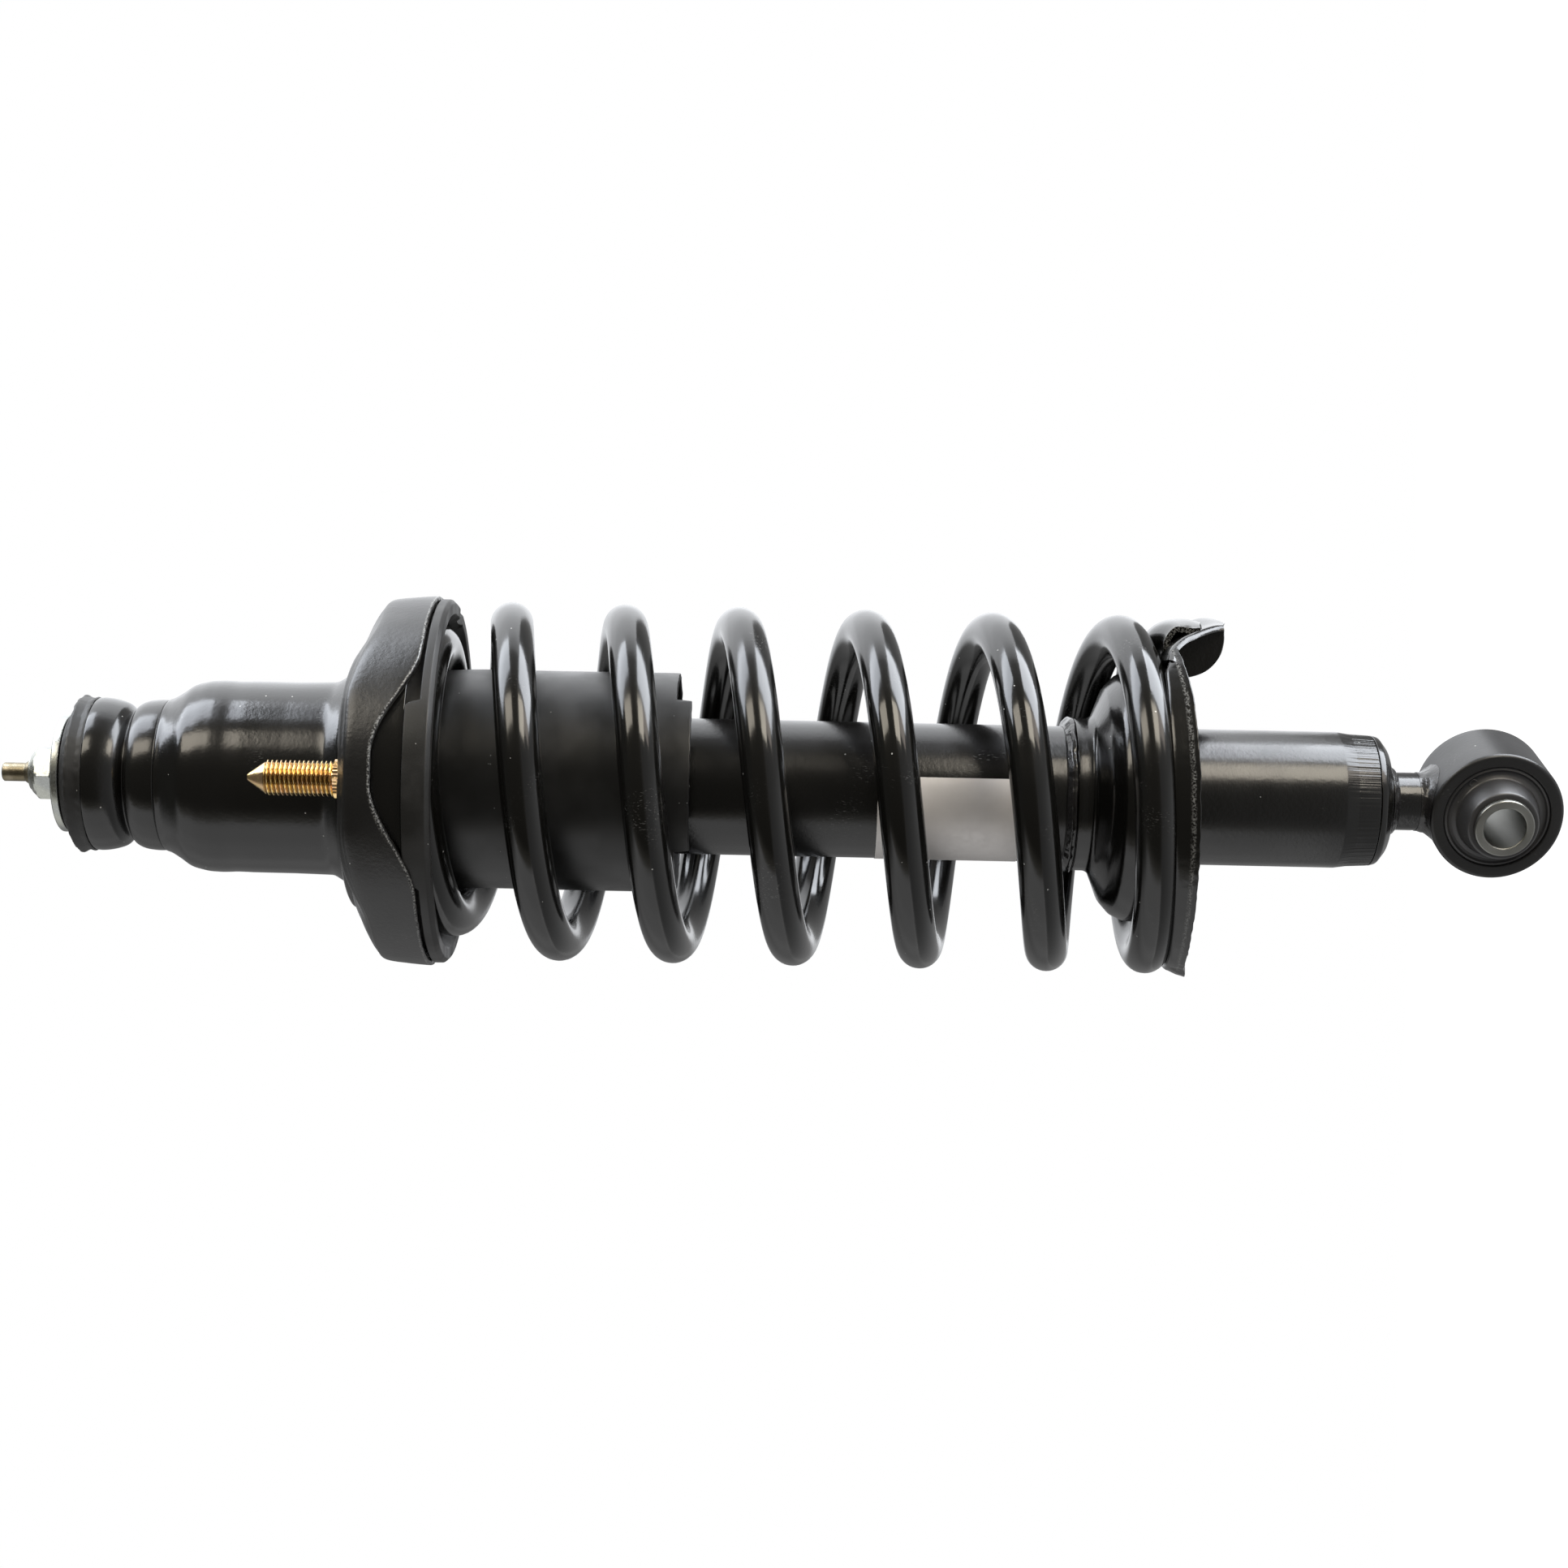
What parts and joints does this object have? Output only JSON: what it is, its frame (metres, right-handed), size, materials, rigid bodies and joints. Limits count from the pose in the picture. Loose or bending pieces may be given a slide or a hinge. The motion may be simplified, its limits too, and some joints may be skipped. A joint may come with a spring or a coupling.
{
  "type": "suspension strut assembly",
  "caption": "Rear suspension strut with coil spring, stud-mounted upper mount, dust cover, damper tube with spring seat and hose bracket, and a bushed lower eye.",
  "frame": {"origin": "centre of the two mounting studs, on the upper face of the mount's flange", "axes": "+Z along the strut's axis towards the rod's nut, +Y along the line of the two studs, +X towards the hose bracket"},
  "size_m": [0.1086, 0.1086, 0.457],
  "materials": {
    "black_paint": "gloss black paint over pressed steel",
    "spring_paint": "gloss black powder coat",
    "zinc_bright": "bright zinc plate",
    "zinc_yellow": "yellow chromated zinc plate",
    "rod_steel": "hard ground steel, brownish at its turned tip",
    "sleeve_steel": "plain drawn steel",
    "steel_plain": "plain steel",
    "sintered": "sintered iron",
    "band": "filled low-friction plastic",
    "rubber": "matte black rubber",
    "foam": "closed-cell foam",
    "black_plastic": "satin black plastic",
    "foil": "blank silver foil"
  },
  "bodies": {
    "upper_mount": {"rod_nut": "zinc_bright", "top_washer": "zinc_bright", "upper_bush": "rubber", "distance_sleeve": "steel_plain", "lower_bush": "rubber", "lower_washer": "steel_plain", "mount_tower": "black_paint", "mount_flange": "black_paint", "mount_studs": "zinc_yellow", "seat_cup": "black_paint", "spring_isolator": "rubber", "dust_cover": "black_plastic", "bump_stop": "foam", "coil_spring": "spring_paint", "piston_rod": "rod_steel", "rebound_stop": "steel_plain", "upper_shims": "steel_plain", "piston": "sintered", "piston_band": "band", "lower_shims": "steel_plain", "piston_nut": "steel_plain"},
    "damper": {"strut_tube": "black_paint", "tube_cap": "steel_plain", "rod_seal": "rubber", "rod_guide": "sintered", "pressure_tube": "steel_plain", "base_valve": "sintered", "tube_end": "black_paint", "lower_seat": "black_paint", "seat_weld": "black_paint", "spring_stop": "black_paint", "hose_bracket": "black_paint", "stem": "black_paint", "stem_weld": "black_paint", "eye_weld": "black_paint", "eye_ring": "black_paint", "eye_rubber": "rubber", "blank_label": "foil"},
    "sleeve": {"eye_sleeve": "sleeve_steel"}
  },
  "joints": [
    {"name": "damper_slide", "type": "slide", "parent": "upper_mount", "child": "damper", "axis": [0, 0, 1], "range_m": [0, 0.08], "stiffness_N_per_m": 28000, "springref_m": -0.03, "deforming": ["coil_spring"]},
    {"name": "sleeve_twist", "type": "hinge", "parent": "damper", "child": "sleeve", "pos_m": [0, 0, -0.331], "axis": [-0.3584, -0.9336, 0], "range_deg": [-12, 12], "stiffness_Nm_per_rad": 1.5}
  ]
}
